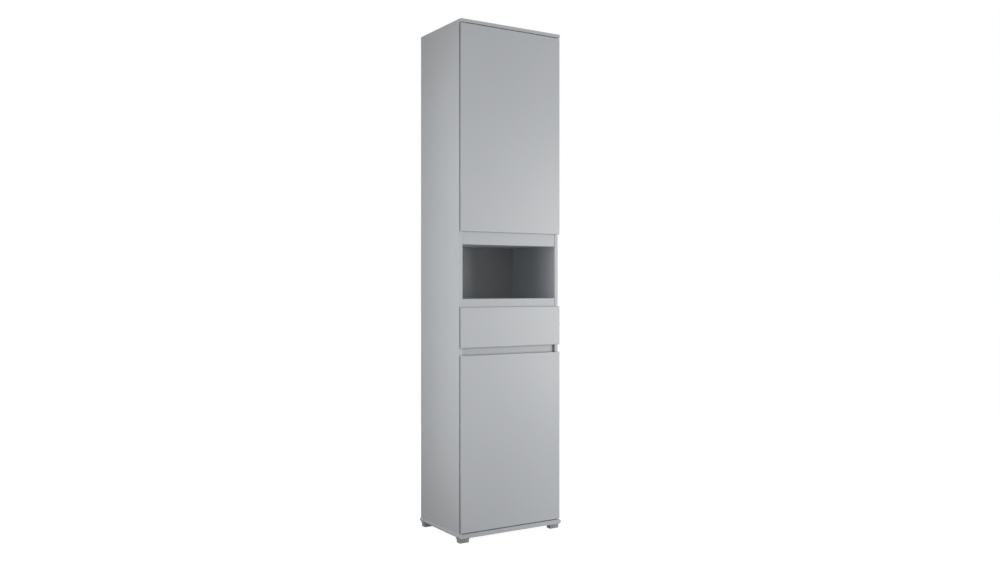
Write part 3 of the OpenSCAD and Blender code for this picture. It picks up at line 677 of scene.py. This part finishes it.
softened("hinge_arms", STEEL_EDGE, shape=thin_necks)
for name in ("mounting_plates", "wall_bracket"):
    softened(name, STEEL_EDGE)
for name in ("upper_hinge_cups", "lower_hinge_cups"):
    softened(name, CUP_EDGE)
for name in ("upper_door_bumpers", "lower_door_bumpers", "drawer_bumpers"):
    softened(name, MOULDED_EDGE, MOULDED_STEPS)
for side in ("left", "right"):
    for name in ("cabinet_runner_", "drawer_runner_"):
        softened(name + side, STEEL_EDGE)
    for name in ("cabinet_roller_", "drawer_roller_"):
        softened(name + side, DISC_EDGE)
    for name in ("foot_front_", "foot_back_"):
        softened(name + side, MOULDED_EDGE, MOULDED_STEPS)
softened("shelf_pins", PIN_EDGE)
softened("cam_discs", DISC_EDGE)
for name in ("back_panel_nails", "upper_hinge_pins", "lower_hinge_pins"):
    softened(name, STEEL_EDGE)


# The camera and gloss see a white floor and background, which light the cabinet far less

FLOOR_SIZE = 30
FLOOR_LEVEL = 0.45
# Painted shade: a dark patch of floor at the left rear, seen only by the rays that light things,
# which darkens the bottom of the cabinet's left side
FLOOR_SHADE_PATCH_LEVEL = 0.08
FLOOR_SHADE_PATCH_PLACE = (-0.45, 0.25, 0)
FLOOR_SHADE_PATCH_REACH = (0.4, 0.85)
SHADOW_SHARE = 0.2
FLOOR_GLOW = 1.19
STUDIO_LEVEL = 0.29


def seen_directly(graph):
    """1 for camera, glossy and transmission rays, 0 for the rays that only light things"""
    path = graph.node("ShaderNodeLightPath")
    through = path.out("Is Transmission Ray")
    return path.out("Is Camera Ray").most(path.out("Is Glossy Ray")).most(through)


def floor_white():
    """Seen, it is white with a faint shadow; it lights things as grey, with a patch of painted
    shade at the left rear that darkens the bottom of the cabinet's left side
    """
    material = bpy.data.materials.new("floor_white")
    material.use_nodes = True
    graph = Graph(material.node_tree)
    graph.tree.nodes.clear()
    away = graph.node("ShaderNodeVectorMath", {"operation": "DISTANCE"}, {
        0: graph.node("ShaderNodeTexCoord").out("Object"),
        1: FLOOR_SHADE_PATCH_PLACE,
    })
    level = graph.node("ShaderNodeMapRange", {}, {
        "Value": away.out("Value"),
        "From Min": FLOOR_SHADE_PATCH_REACH[0],
        "From Max": FLOOR_SHADE_PATCH_REACH[1],
        "To Min": FLOOR_SHADE_PATCH_LEVEL,
        "To Max": FLOOR_LEVEL,
    })
    lit = graph.node("ShaderNodeBsdfDiffuse", {}, {"Color": level.out(0)})
    shaded = graph.node("ShaderNodeBsdfDiffuse", {}, {"Color": grey(1.0)})
    glow = graph.node("ShaderNodeEmission", {}, {"Strength": FLOOR_GLOW})
    white = graph.node("ShaderNodeMixShader", {},
                       {0: SHADOW_SHARE, 1: glow.out(0), 2: shaded.out(0)})
    choice = graph.node("ShaderNodeMixShader", {},
                        {0: seen_directly(graph), 1: lit.out(0), 2: white.out(0)})
    graph.node("ShaderNodeOutputMaterial", {}, {"Surface": choice.out(0)})
    return material


deselect()
bpy.ops.mesh.primitive_plane_add(size=FLOOR_SIZE, location=(0, 0, 0))
floor = bpy.context.object
floor.name = "floor"
floor.data.materials.append(floor_white())

world = bpy.data.worlds.new("studio")
bpy.context.scene.world = world
world.use_nodes = True
studio = Graph(world.node_tree)
strength = studio.node("ShaderNodeMapRange", {}, {
    "Value": seen_directly(studio),
    "To Min": STUDIO_LEVEL,
    "To Max": 1.0,
})
studio.put(studio.tree.nodes["Background"], {"Color": grey(1.0), "Strength": strength.out(0)})


def softbox(name, place, target, size, power, mirrored=True):
    """A rectangular lamp that the camera doesn't see, mirrored in glossy faces or not"""
    light = bpy.data.lights.new(name, "AREA")
    light.shape = "RECTANGLE"
    light.size, light.size_y = size
    light.energy = power
    lamp = bpy.data.objects.new(name, light)
    lamp.location = place
    aim = Vector(target) - Vector(place)
    lamp.rotation_euler = aim.to_track_quat("-Z", "Y").to_euler()
    lamp.visible_camera = False
    lamp.visible_glossy = mirrored
    bpy.context.scene.collection.objects.link(lamp)


softbox("right_light", (2.95, -2.8, 0.95), (0, 0, 0.95), (1.9, 1.9), 100)
softbox("left_strip", (-0.8, -0.25, 0.97), (-0.22, -0.2, 0.97), (0.2, 1.75), 4.45)
# An open door seen at a flat angle would mirror this one and turn white
softbox("rear_light", (0.55, 2.6, 1.1), (0, 0.1, 1.0), (1.2, 1.8), 31, mirrored=False)
softbox("top_light", (0, 0, 2.95), (0, 0, 1.9), (0.36, 0.26), 4.2)
